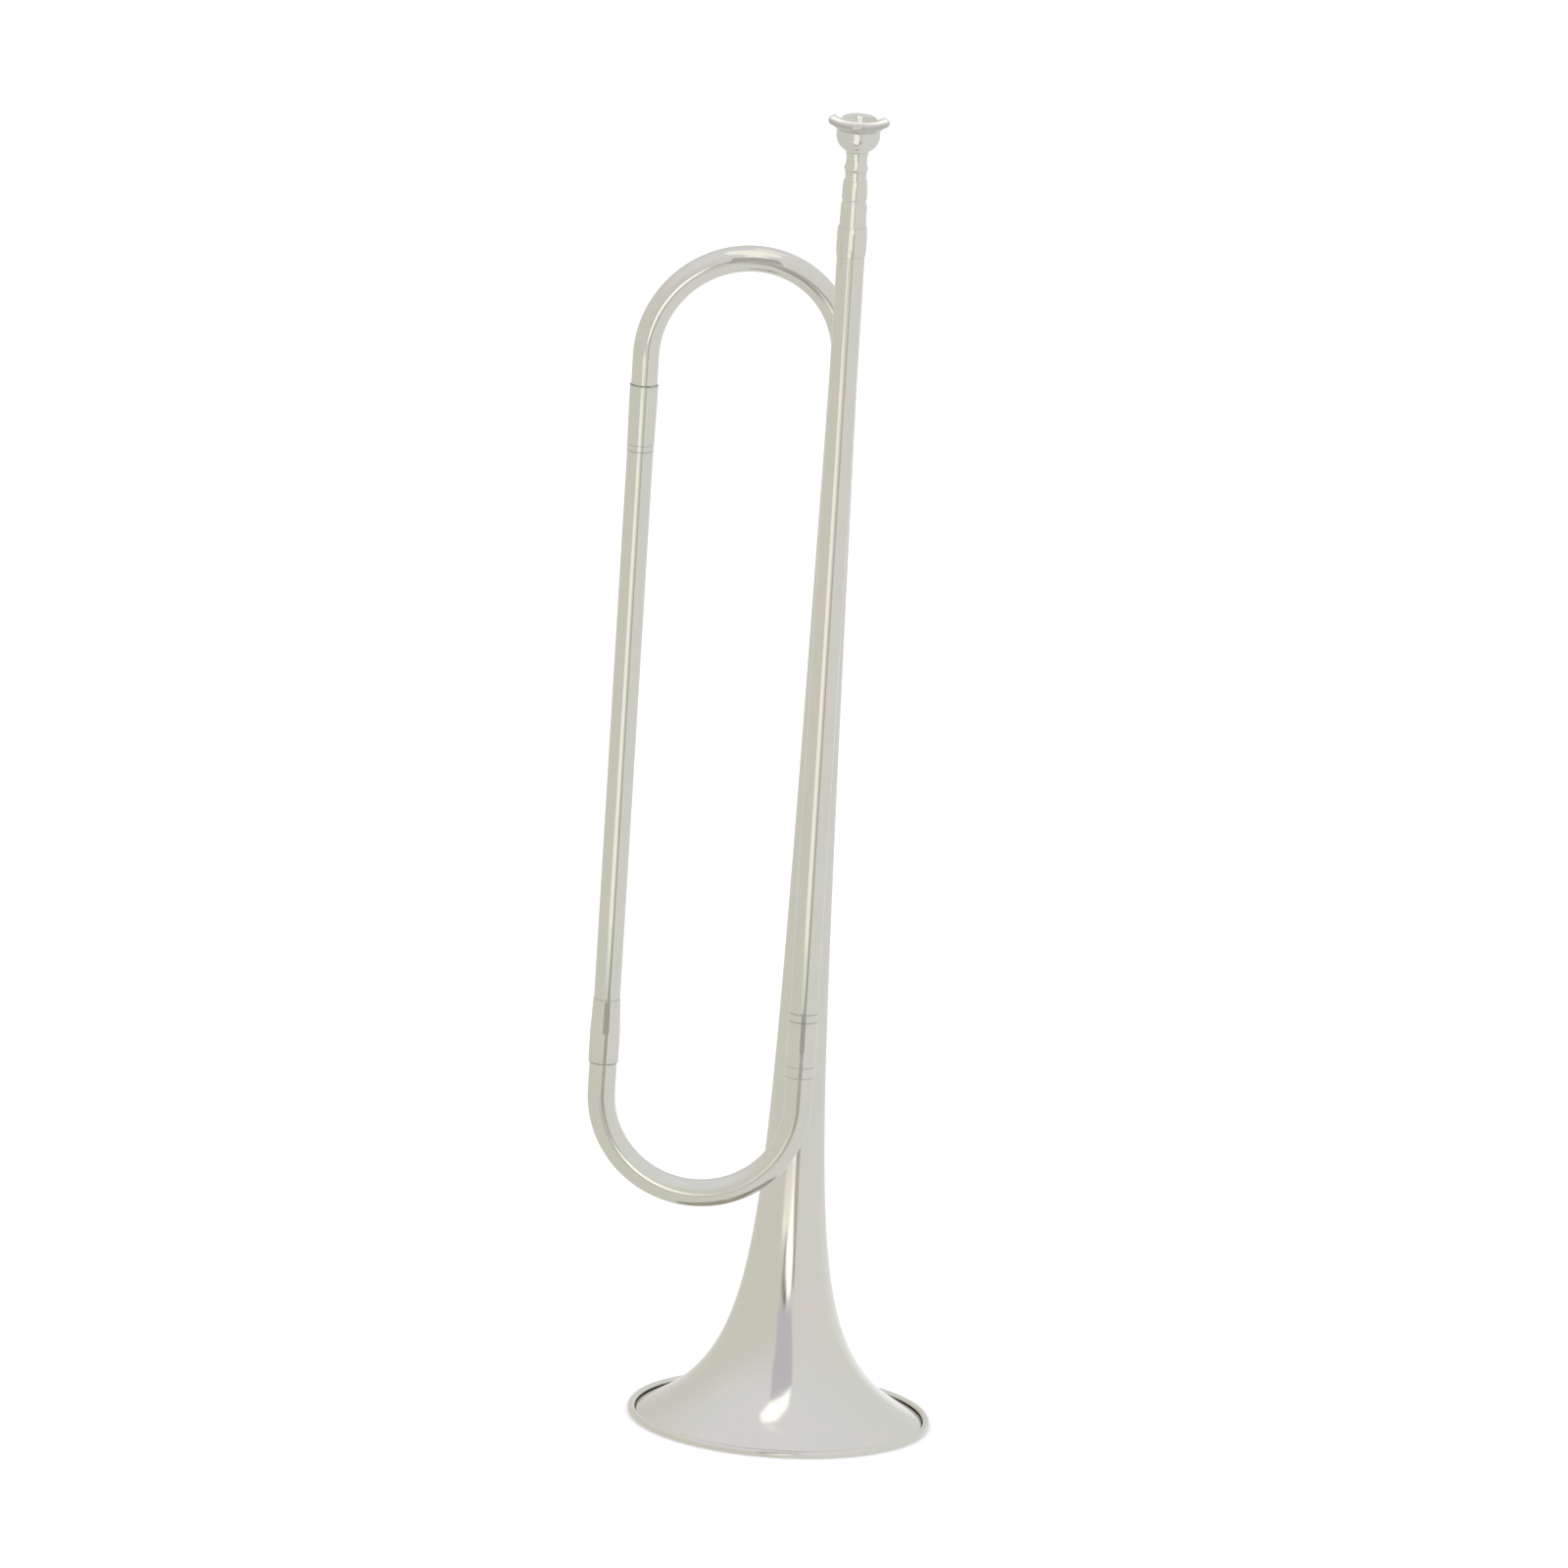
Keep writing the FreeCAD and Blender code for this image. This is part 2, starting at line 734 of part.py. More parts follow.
def brace(name, height_alias):
    """A foot on the lead pipe, a foot on the bell, and the turned post between them. The post lies
    along Y; both its ends run into the feet and are cut to the feet's outer faces."""
    height = size(height_alias)
    thickness = size("foot_thickness")
    reach = size("foot_radius") * 2
    low = height - reach
    pipe_label = name + "_leadpipe_foot"
    bell_label = name + "_bell_foot"
    post_label = name + "_post"

    def pipe_solid(label, radius):
        return cylinder(label, radius, reach * 2, ZERO, lead_along, low)

    def bell_solid(label, offset):
        return bell_band(label, height.value, offset)

    pipe_shell = combine(
        "Cut", pipe_label + "_shell",
        pipe_solid(pipe_label + "_outer", size("lead_radius") + thickness),
        pipe_solid(pipe_label + "_inner", size("lead_radius")),
    )
    pipe_disc = foot_disc(pipe_label + "_disc", height_alias)
    keep(pipe_label, combine("Common", pipe_label + "_shape", pipe_disc, pipe_shell))

    bell_shell = combine(
        "Cut", bell_label + "_shell",
        bell_solid(bell_label + "_outer", thickness.value),
        bell_solid(bell_label + "_inner", 0),
    )
    bell_disc = foot_disc(bell_label + "_disc", height_alias)
    keep(bell_label, combine("Common", bell_label + "_shape", bell_disc, bell_shell))

    pipe_face = size("lead_forward") - size("lead_radius") - thickness
    bell_face = as_length(round(bell_radius(height.value) + thickness.value, 3))
    clear = pipe_face - bell_face
    bead = size("post_bead") - size("post_radius")
    overlap = size("post_overlap")
    post = turned(post_label, [
        (ZERO, ZERO - overlap),
        (size("post_radius"), ZERO - overlap),
        (size("post_radius"), clear / 2 - bead),
        (size("post_bead"), clear / 2),
        (size("post_radius"), clear / 2 + bead),
        (size("post_radius"), clear + overlap),
        (ZERO, clear + overlap),
    ])
    place(post, along=ZERO - pipe_face, height=height)
    post.Placement.Rotation = FreeCAD.Rotation(FreeCAD.Vector(1, 0, 0), -90)
    doc.recompute()
    trimmed = combine(
        "Cut", post_label + "_trimmed", post,
        pipe_solid(post_label + "_pipe_side", size("lead_radius") + thickness),
    )
    bell_side = bell_solid(post_label + "_bell_side", thickness.value)
    keep(post_label, combine("Cut", post_label + "_shape", trimmed, bell_side))


brace("upper_brace", "upper_brace_height")
brace("lower_brace", "lower_brace_height")


# Checks and export

doc.recompute()
for item in doc.Objects:
    if "Invalid" in item.State or "Error" in item.State:
        raise RuntimeError(item.Label + " did not build: " + str(item.State))
os.makedirs("parts", exist_ok=True)
for label, piece in parts.items():
    shape = piece.Shape
    if shape.isNull() or not shape.isValid() or len(shape.Solids) != 1:
        raise RuntimeError(label + " is not one valid solid")
    box = shape.optimalBoundingBox()
    print(
        "%-26s volume %9.1f  x %7.2f %7.2f  y %7.2f %7.2f  z %7.2f %7.2f"
        % (label, shape.Volume, box.XMin, box.XMax, box.YMin, box.YMax, box.ZMin, box.ZMax)
    )
    shape.exportStep("parts/" + label + ".step")
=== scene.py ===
import json
import math

import bmesh
import bpy
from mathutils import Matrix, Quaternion, Vector

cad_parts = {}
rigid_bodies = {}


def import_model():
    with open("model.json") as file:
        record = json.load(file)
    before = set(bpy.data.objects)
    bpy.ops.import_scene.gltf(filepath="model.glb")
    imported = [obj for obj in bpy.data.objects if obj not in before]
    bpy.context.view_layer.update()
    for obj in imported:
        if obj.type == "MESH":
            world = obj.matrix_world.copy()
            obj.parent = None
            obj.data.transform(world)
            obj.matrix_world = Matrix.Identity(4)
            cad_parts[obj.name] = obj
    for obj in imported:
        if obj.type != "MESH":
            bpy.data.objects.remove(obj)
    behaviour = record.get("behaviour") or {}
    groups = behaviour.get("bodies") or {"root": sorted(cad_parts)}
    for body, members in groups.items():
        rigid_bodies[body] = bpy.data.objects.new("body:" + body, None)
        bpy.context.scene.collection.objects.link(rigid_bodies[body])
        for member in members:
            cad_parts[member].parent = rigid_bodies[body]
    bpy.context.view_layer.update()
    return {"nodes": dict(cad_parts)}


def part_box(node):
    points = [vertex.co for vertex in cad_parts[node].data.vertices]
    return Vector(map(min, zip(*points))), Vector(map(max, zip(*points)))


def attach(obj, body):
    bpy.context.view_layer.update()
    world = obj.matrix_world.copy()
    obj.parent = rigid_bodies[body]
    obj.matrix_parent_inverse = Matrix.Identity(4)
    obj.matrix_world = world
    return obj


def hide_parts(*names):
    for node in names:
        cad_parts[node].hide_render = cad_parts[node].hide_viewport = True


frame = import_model()

# A nickel-plated bugle standing on its bell. The frame is in metres; the outlines below are in
# millimetres from each piece's own foot, and become metres when a mesh is made.

MM = 0.001
ZAXIS = Vector((0, 0, 1))
TINY = 1e-6


# Where the CAD's pieces are, in millimetres


class Place:
    """The box of a CAD node at rest, in millimetres."""

    def __init__(self, node):
        low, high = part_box(node)
        self.low = low / MM
        self.high = high / MM
        self.middle = (self.low + self.high) / 2
        self.size = self.high - self.low

    @property
    def axis(self):
        return (self.middle.x, self.middle.y)

    @property
    def radius(self):
        return self.size.x / 2


places = {node: Place(node) for node in frame["nodes"]}


# Outlines

ARC_STEP = math.radians(6)
MOST_CUT = 0.9          # of an edge, by which a rounded corner may shorten it
CORNER_SHARE = 0.3      # of the shorter edge, that a rounded corner may take up
HOLD = 0.12             # how far from a sharp corner the ring that keeps the face flat stands
MOST_HOLD = 0.25        # of an edge, and no further than this
EDGE_END = 0.001        # of an edge, within which no ring is added


def arc_points(start, end, radius, side):
    """The short arc from start to end; its centre is to the left (+1) or right (-1) of the way."""
    chord = end - start
    across = Vector((-chord.y, chord.x)).normalized()
    rise = math.sqrt(max(radius ** 2 - chord.length_squared / 4, 0))
    centre = (start + end) / 2 + across * rise * side
    begin = math.atan2(start.y - centre.y, start.x - centre.x)
    sweep = side * 2 * math.asin(min(chord.length / 2 / radius, 1))
    steps = max(6, int(abs(sweep) / ARC_STEP))
    angles = [begin + sweep * step / steps for step in range(steps + 1)]
    return [centre + Vector((math.cos(a), math.sin(a))) * radius for a in angles]


def path_length(points):
    return sum((b - a).length for a, b in zip(points, points[1:]))


def shortened(points, cut):
    """The path with a length cut off its start."""
    points = list(points)
    while len(points) > 2 and (points[1] - points[0]).length <= cut:
        cut -= (points[1] - points[0]).length
        points.pop(0)
    step = points[1] - points[0]
    points[0] = points[0] + step.normalized() * min(cut, step.length * MOST_CUT)
    return points


def turn_between(before, after):
    first = before[-1] - before[-2]
    second = after[1] - after[0]
    return first.angle(second, 0)


def rounded_corner(before, corner, after, steps=4):
    spots = [step / (steps + 1) for step in range(1, steps + 1)]
    return [before * (1 - t) ** 2 + corner * 2 * t * (1 - t) + after * t ** 2 for t in spots]


def closed_outline(corners, soften=0.07, blunt=math.radians(12)):
    """A closed outline of (across, along) points. A corner is (across, along), or (across, along,
    arc radius, side) where the edge that leaves it is an arc, or a list of points for an edge that
    is already a curve. Sharp corners are rounded, and rings close to them keep the faces flat."""
    firsts = [Vector(c[0]) if isinstance(c, list) else Vector(c[:2]) for c in corners]
    edges = []
    for index, corner in enumerate(corners):
        start = firsts[index]
        end = firsts[(index + 1) % len(corners)]
        if isinstance(corner, list):
            edges.append([Vector(point) for point in corner] + [end])
        elif len(corner) == 2:
            edges.append([start, end])
        else:
            edges.append(arc_points(start, end, corner[2], corner[3]))
    cuts = []
    for index, edge in enumerate(edges):
        before = edges[index - 1]
        room = CORNER_SHARE * min(path_length(before), path_length(edge))
        on_axis = edge[0].x < TINY
        sharp = turn_between(before, edge) > blunt and not on_axis
        cuts.append(min(soften, room) if sharp else 0)
    trimmed = []
    for index, edge in enumerate(edges):
        cut_after = cuts[(index + 1) % len(edges)]
        points = shortened(edge, cuts[index]) if cuts[index] else list(edge)
        if cut_after:
            points = shortened(points[::-1], cut_after)[::-1]
        trimmed.append(points)
    outline = []
    for index, points in enumerate(trimmed):
        if cuts[index]:
            outline += rounded_corner(trimmed[index - 1][-1], edges[index][0], points[0])
        if len(points) == 2:
            way = points[1] - points[0]
            hold = min(HOLD / max(way.length, 1e-9), MOST_HOLD)
            outline += [points[0], points[0] + way * hold, points[1] - way * hold]
        else:
            outline += points[:-1]
        if cuts[(index + 1) % len(edges)]:
            outline.append(points[-1])
    return outline


def with_marks(outline, marks, reach):
    """Adds rings on long edges where a joint line crosses them. A mark is (height, strength)."""
    steps = (-2, -1.4, -0.9, -0.45, 0, 0.45, 0.9, 1.4, 2)
    heights = [mark + step * reach for mark, strength in marks for step in steps]
    result = []
    for index, point in enumerate(outline):
        following = outline[(index + 1) % len(outline)]
        result.append(point)
        rise = following.y - point.y
        if abs(rise) < TINY:
            continue
        shares = sorted((height - point.y) / rise for height in heights)
        inside = [share for share in shares if EDGE_END < share < 1 - EDGE_END]
        result += [point.lerp(following, share) for share in inside]
    return result


# Spines: where an outline's rings stand


def upright(axis, foot=0.0):
    """A spine that goes straight up from a foot."""

    def at(along):
        return Vector((axis[0], axis[1], foot + along)), Vector((1, 0, 0)), Vector((0, 1, 0))

    return at


def round_bend(first, second, end_height, bend_height):
    """A spine that leaves one axis, goes half round and comes back along the other."""
    start = Vector((first[0], first[1], 0))
    finish = Vector((second[0], second[1], 0))
    way = 1 if bend_height > end_height else -1
    up = ZAXIS * way
    across = (finish - start).normalized()
    bend = (finish - start).length / 2
    leg = abs(bend_height - end_height)
    middle = (start + finish) / 2 + ZAXIS * bend_height
    normal = across.cross(up)

    def at(along):
        if along < leg:
            centre = start + ZAXIS * end_height + up * along
            tangent = up
        elif along < leg + math.pi * bend:
            angle = (along - leg) / bend
            centre = middle + (up * math.sin(angle) - across * math.cos(angle)) * bend
            tangent = across * math.sin(angle) + up * math.cos(angle)
        else:
            rest = along - leg - math.pi * bend
            centre = finish + ZAXIS * bend_height - up * rest
            tangent = -up
        return centre, normal, tangent.cross(normal)

    return at, leg, bend


# Meshes

SHARP = math.radians(32)


def solid_of_rings(name, outline, spine, segments, marks=(), reach=0.3, outside_only=False):
    """Carries a closed outline along a spine. The mesh gets a point attribute, joint, which has a
    mark's strength at its joint line and falls to 0 beside it. The finish darkens the metal there,
    partly as residue and partly as painted shade in the gap between pieces. With outside_only it
    stays 0 past the top ring, on the inside."""
    rings = with_marks(outline, marks, reach) if marks else list(outline)
    top = max(range(len(rings)), key=lambda index: rings[index].y)
    turns = [2 * math.pi * step / segments for step in range(segments)]
    points, circles, dirt_and_shade_marks = [], [], []
    for index, (radius, along) in enumerate(rings):
        centre, first, second = spine(along)
        near = [strength * math.exp(-((along - mark) / reach) ** 2) for mark, strength in marks]
        dirt_and_shade_mark = 0 if outside_only and index > top else max(near, default=0)
        if radius < TINY:
            circles.append([len(points)] * segments)
            points.append(centre * MM)
            dirt_and_shade_marks.append(dirt_and_shade_mark)
            continue
        circles.append(list(range(len(points), len(points) + segments)))
        for angle in turns:
            outward = first * math.cos(angle) + second * math.sin(angle)
            points.append((centre + outward * radius) * MM)
            dirt_and_shade_marks.append(dirt_and_shade_mark)
    faces = []
    for index, circle in enumerate(circles):
        following = circles[(index + 1) % len(circles)]
        for step in range(segments):
            after = (step + 1) % segments
            face = [circle[step], circle[after], following[after], following[step]]
            unique = list(dict.fromkeys(face))
            if len(unique) > 2:
                faces.append(unique)
    mesh = bpy.data.meshes.new(name)
    mesh.from_pydata(points, [], faces)
    shape = bmesh.new()
    shape.from_mesh(mesh)
    bmesh.ops.recalc_face_normals(shape, faces=shape.faces)
    shape.to_mesh(mesh)
    shape.free()
    mesh.shade_smooth()
    mesh.set_sharp_from_angle(angle=SHARP)
    layer = mesh.attributes.new("joint", "FLOAT", "POINT")
    layer.data.foreach_set("value", dirt_and_shade_marks)
    piece = bpy.data.objects.new(name, mesh)
    bpy.context.scene.collection.objects.link(piece)
    return piece


def fitted(piece, material, body, slot, *nodes):
    """Gives a piece its finish, its body and the CAD nodes it stands for."""
    piece.data.materials.append(material)
    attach(piece, body)
    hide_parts(*nodes)
    return piece


# Node helpers


class Value:
    """A number in a node tree, with arithmetic."""

    def __init__(self, tree, socket):
        self.tree = tree
        self.socket = socket

    def op(self, operation, *others, clamp=False):
        node = self.tree.nodes.new("ShaderNodeMath")
        node.operation = operation
        node.use_clamp = clamp
        self.tree.links.new(self.socket, node.inputs[0])
        for slot, other in enumerate(others, start=1):
            if isinstance(other, Value):
                self.tree.links.new(other.socket, node.inputs[slot])
            else:
                node.inputs[slot].default_value = other
        return Value(self.tree, node.outputs[0])

    def __add__(self, other):
        return self.op("ADD", other)

    def __sub__(self, other):
        return self.op("SUBTRACT", other)

    def __mul__(self, other):
        return self.op("MULTIPLY", other)

    def ramp(self, low, high, start=0.0, end=1.0):
        """Goes smoothly from start to end while this value goes from low to high."""
        node = self.tree.nodes.new("ShaderNodeMapRange")
        node.interpolation_type = "SMOOTHSTEP"
        self.tree.links.new(self.socket, node.inputs["Value"])
        ends = (("From Min", low), ("From Max", high), ("To Min", start), ("To Max", end))
        for slot, number in ends:
            if isinstance(number, Value):
                self.tree.links.new(number.socket, node.inputs[slot])
            else:
                node.inputs[slot].default_value = number
        return Value(self.tree, node.outputs["Result"])

    def window(self, low, high, edge):
        """1 between low and high, 0 outside, with soft edges."""
        return self.ramp(low - edge, low + edge) * self.ramp(high - edge, high + edge, 1.0, 0.0)


def blend(tree, share, first, second):
    """A colour between two; each is a tuple or a socket."""
    node = tree.nodes.new("ShaderNodeMix")
    node.data_type = "RGBA"
    tree.links.new(share.socket, node.inputs["Factor"])
    for slot, colour in ((6, first), (7, second)):
        if isinstance(colour, tuple):
            node.inputs[slot].default_value = (*colour, 1)
        else:
            tree.links.new(colour, node.inputs[slot])
    return node.outputs[2]


def parts_of(tree, vector):
    node = tree.nodes.new("ShaderNodeSeparateXYZ")
    tree.links.new(vector, node.inputs[0])
    return [Value(tree, output) for output in node.outputs]


def vector_of(tree, x, y, z):
    node = tree.nodes.new("ShaderNodeCombineXYZ")
    for slot, part in enumerate((x, y, z)):
        if isinstance(part, Value):
            tree.links.new(part.socket, node.inputs[slot])
        else:
            node.inputs[slot].default_value = part
    return node.outputs[0]


def noise(tree, vector, scale, detail=2.0, rough=0.5):
    node = tree.nodes.new("ShaderNodeTexNoise")
    node.inputs["Scale"].default_value = scale
    node.inputs["Detail"].default_value = detail
    node.inputs["Roughness"].default_value = rough
    tree.links.new(vector, node.inputs["Vector"])
    return Value(tree, node.outputs["Fac"])


# Finishes

WARM_NICKEL = (0.575, 0.555, 0.497)
PINK_NICKEL = (0.600, 0.553, 0.500)
GREEN_NICKEL = (0.560, 0.558, 0.490)
# the colour of the joint lines: partly residue, partly painted shade of the gaps between pieces
JOINT_DIRT_AND_SHADE = (0.085, 0.078, 0.062)
EDGE_TINT = (0.88, 0.88, 0.88, 1)

CLOUDS = 26.0           # noise scales, in waves to the metre
BLUSHES = 61.0
SMEARS = 95.0
FLECKS = 900.0
RIPPLES = 30.0
LINES_ALONG = 5200.0
LINES_ROUND = 4200.0
LINE_STRETCH = 0.012    # how far the polishing lines are drawn out along a tube
RIPPLE_DEPTH = 0.00010  # depths, in metres
LINE_DEPTH = 0.0000004
SMEAR_ROUGH = 0.05      # what each adds to the roughness
LINE_ROUGH = 0.03
JOINT_DIRT_AND_SHADE_ROUGH = 0.35
JOINT_DIRT_AND_SHADE_COVER = 0.85


def plate(name, grain, rough, tint=(1.0, 1.0, 1.0), wave=1.0):
    """Bright nickel plate. The grain is the way the polishing lines go: "along" a tube, "round"
    the bell's axis, or "across" a small piece from front to back. Clouds of warmer and cooler
    metal, soft smears, and dark joint lines, which are partly residue and partly painted shade
    of the gaps between pieces."""
    material = bpy.data.materials.new(name)
    material.use_nodes = True
    tree = material.node_tree
    shader = tree.nodes["Principled BSDF"]
    shader.inputs["Metallic"].default_value = 1.0
    shader.inputs["Specular Tint"].default_value = EDGE_TINT
    place = tree.nodes.new("ShaderNodeTexCoord").outputs["Object"]
    x, y, z = parts_of(tree, place)

    def toned(colour):
        return tuple(c * t for c, t in zip(colour, tint))

    clouds = noise(tree, place, CLOUDS, 3.0)
    blushes = noise(tree, place, BLUSHES, 2.0)
    colour = blend(tree, clouds.ramp(0.38, 0.66), toned(WARM_NICKEL), toned(GREEN_NICKEL))
    colour = blend(tree, blushes.ramp(0.55, 0.75, 0.0, 0.75), colour, toned(PINK_NICKEL))
    if grain == "along":
        stretched = vector_of(tree, x, y, z * LINE_STRETCH)
        lines = noise(tree, stretched, LINES_ALONG, 3.0, 0.6)
    else:
        spread = (x * x + y * y).op("SQRT") if grain == "round" else x
        stretched = vector_of(tree, spread, 0.0, z)
        lines = noise(tree, stretched, LINES_ROUND, 3.0, 0.6)
    smears = noise(tree, place, SMEARS, 4.0, 0.6)
    # painted shade: the joint lines are darkened as residue and as the shade in the gaps between
    # pieces
    dirt_and_shade_mark = tree.nodes.new("ShaderNodeAttribute")
    dirt_and_shade_mark.attribute_name = "joint"
    flecks = noise(tree, place, FLECKS, 2.0)
    joint_dirt_and_shade = Value(tree, dirt_and_shade_mark.outputs["Fac"]) * flecks.ramp(0.25, 0.6, 0.45, 1.0)
    colour = blend(tree, joint_dirt_and_shade * JOINT_DIRT_AND_SHADE_COVER, colour, JOINT_DIRT_AND_SHADE)
    tree.links.new(colour, shader.inputs["Base Color"])
    roughness = smears.ramp(0.35, 0.75, rough, rough + SMEAR_ROUGH)
    roughness = roughness + lines.ramp(0.3, 0.8, 0.0, LINE_ROUGH) + joint_dirt_and_shade * JOINT_DIRT_AND_SHADE_ROUGH
    tree.links.new(roughness.socket, shader.inputs["Roughness"])
    ripple = tree.nodes.new("ShaderNodeBump")
    ripple.inputs["Strength"].default_value = 1.0
    ripple.inputs["Distance"].default_value = RIPPLE_DEPTH * wave
    tree.links.new(noise(tree, place, RIPPLES, 1.0).socket, ripple.inputs["Height"])
    fine = tree.nodes.new("ShaderNodeBump")
    fine.inputs["Strength"].default_value = 1.0
    fine.inputs["Distance"].default_value = LINE_DEPTH
    tree.links.new(lines.socket, fine.inputs["Height"])
    tree.links.new(ripple.outputs["Normal"], fine.inputs["Normal"])
    tree.links.new(fine.outputs["Normal"], shader.inputs["Normal"])
    return material


tube_finish = plate("nickel_tube", "along", 0.075)
slide_finish = plate("nickel_slide", "along", 0.13)
bell_finish = plate("nickel_bell", "round", 0.09, wave=1.2)
fitting_finish = plate("nickel_fitting", "across", 0.085)
mouthpiece_finish = plate("nickel_mouthpiece", "across", 0.06, tint=(1.0, 1.01, 1.03))
brace_finish = plate("nickel_brace", "across", 0.10)
# painted shade: the wire in the curl is darkened and dulled to stand for the shade in the curl's
# groove
wire_shade_finish = plate("rim_wire_dark", "across", 0.25, tint=(0.55, 0.5, 0.42))


# Straight tubes

WALL = 0.5
LINE = 0.3              # half the width of a joint line
TUBE_TURNS = 96         # how many flats go round each kind of piece
BOW_TURNS = 72
RECEIVER_TURNS = 128
TURNED_TURNS = 160
BELL_TURNS = 256

lead = places["leadpipe"]
side = places["side_tube"]
slide = places["tuning_bow"]
left_ferrule = places["upper_bow_ferrule_left"]
right_ferrule = places["upper_bow_ferrule_right"]
receiver_ferrule = places["receiver_ferrule"]
lead_sleeve = places["leadpipe_slide_sleeve"]
side_sleeve = places["side_slide_sleeve"]
stem = places["bell_stem"]


def round_piece(name, outline, place, marks, material, slot, turns=TUBE_TURNS):
    """A piece that is round about an upright axis, at its CAD node's place."""
    spine = upright(place.axis, place.low.z)
    piece = solid_of_rings(name + "_plated", outline, spine, turns, marks, LINE)
    return fitted(piece, material, "horn", slot, name)


def straight_tube(name, place, marks):
    outline = closed_outline([
        (place.radius - WALL, 0),
        (place.radius, 0),
        (place.radius, place.size.z),
        (place.radius - WALL, place.size.z),
    ])
    marks = [(mark - place.low.z, strength) for mark, strength in marks]
    return round_piece(name, outline, place, marks, tube_finish, "tube_plate")


straight_tube("leadpipe", lead, [(lead_sleeve.high.z, 0.6), (receiver_ferrule.low.z, 0.1)])
straight_tube("side_tube", side, [(side_sleeve.high.z, 0.35), (left_ferrule.low.z, 0.6)])


# Bows

BOW_STEPS = 150


def bow(name, first, second, radius, end_height, bend_height, marks, material, body, slot):
    """A U of tube between two axes. The first mark is on the first leg, the rest on the second."""
    spine, leg, bend = round_bend(first, second, end_height, bend_height)
    length = 2 * leg + math.pi * bend
    steps = BOW_STEPS
    outer = [(radius, length * step / steps) for step in range(steps)]
    inner = [(radius - WALL, length * (1 - step / steps)) for step in range(steps)]
    outline = closed_outline([outer, (radius, length), inner, (radius - WALL, 0)])
    heights = [(abs(mark - end_height), strength) for mark, strength in marks]
    marks = heights[:1] + [(length - height, strength) for height, strength in heights[1:]]
    piece = solid_of_rings(name + "_plated", outline, spine, BOW_TURNS, marks, LINE)
    return fitted(piece, material, body, slot, name)


upper = places["upper_bow"]
upper_radius = side.radius
upper_bend = (Vector(side.axis) - Vector(stem.axis)).length / 2
bow(
    "upper_bow", side.axis, stem.axis, upper_radius, upper.low.z,
    upper.high.z - upper_radius - upper_bend,
    [(left_ferrule.high.z, 1.0), (right_ferrule.high.z, 0.3)],
    tube_finish, "horn", "tube_plate",
)
slide_radius = slide.high.x
lower_bend = (Vector(side.axis) - Vector(lead.axis)).length / 2
bow(
    "tuning_bow", side.axis, lead.axis, slide_radius, slide.high.z,
    slide.low.z + slide_radius + lower_bend,
    [(side_sleeve.low.z, 0.9), (lead_sleeve.low.z, 0.4)],
    slide_finish, "tuning_slide", "slide_plate",
)


# Sleeves and ferrules

TUBE_BEVEL = 0.18
SLIDE_GAP = 0.05
SLEEVE_FULL = 13.5      # where the taper starts outside
SLEEVE_STEP = 19.5      # where the slide's bore ends inside


def sleeve(name, place, inner, marks):
    outer = place.radius
    height = place.size.z
    running = slide_radius + SLIDE_GAP
    outline = closed_outline([
        (running, 0),
        (outer - TUBE_BEVEL, 0),
        (outer, TUBE_BEVEL),
        (outer, SLEEVE_FULL),
        (inner + TUBE_BEVEL, height),
        (inner, height),
        (inner, SLEEVE_STEP),
        (running, SLEEVE_STEP),
    ])
    return round_piece(name, outline, place, marks, fitting_finish, "fitting_plate")


SLEEVE_TOP = 27.5
# painted reflections: on the lead pipe's sleeve the two inner lines are reflections of its ends,
# drawn as dark joint lines; the outer two are its real joints
LOW_REFLECTION_LINE = 4.6
HIGH_REFLECTION_LINE = 24.1
lead_lines = [(0, 0.5), (LOW_REFLECTION_LINE, 0.35), (HIGH_REFLECTION_LINE, 0.6), (SLEEVE_TOP, 0.5)]
sleeve("leadpipe_slide_sleeve", lead_sleeve, lead.radius, lead_lines)
sleeve("side_slide_sleeve", side_sleeve, side.radius, [(0, 1.0), (SLEEVE_TOP, 0.35)])

LEFT_THIN = 5.62        # radius of the left ferrule's foot
LEFT_FULL = 20.3        # where its taper ends
LEFT_LINE = 2.6
RIGHT_THIN = 5.95       # radius of the right ferrule's top

height = left_ferrule.size.z
outline = closed_outline([
    (side.radius, 0),
    (LEFT_THIN, 0),
    (left_ferrule.radius, LEFT_FULL),
    (left_ferrule.radius, height - TUBE_BEVEL),
    (left_ferrule.radius - TUBE_BEVEL, height),
    (side.radius, height),
])
round_piece(
    "upper_bow_ferrule_left", outline, left_ferrule,
    [(0, 0.6), (LEFT_LINE, 0.25), (height, 1.0)], fitting_finish, "fitting_plate",
)

height = right_ferrule.size.z
outline = closed_outline([
    (side.radius, 0),
    (right_ferrule.radius, 0),
    (RIGHT_THIN, height),
    (side.radius, height),
])
round_piece(
    "upper_bow_ferrule_right", outline, right_ferrule,
    [(0, 0.3), (height, 0.3)], fitting_finish, "fitting_plate",
)

RING_BEVEL = 2.4
height = receiver_ferrule.size.z
outline = closed_outline([
    (lead.radius, 0),
    (lead.radius + TUBE_BEVEL, 0),
    (receiver_ferrule.radius, RING_BEVEL),
    (receiver_ferrule.radius, height - RING_BEVEL),
    (lead.radius + TUBE_BEVEL, height),
    (lead.radius, height),
])
round_piece(
    "receiver_ferrule", outline, receiver_ferrule,
    [(0, 0.12), (height, 0.15)], fitting_finish, "fitting_plate",
)


# Mouthpiece and receiver

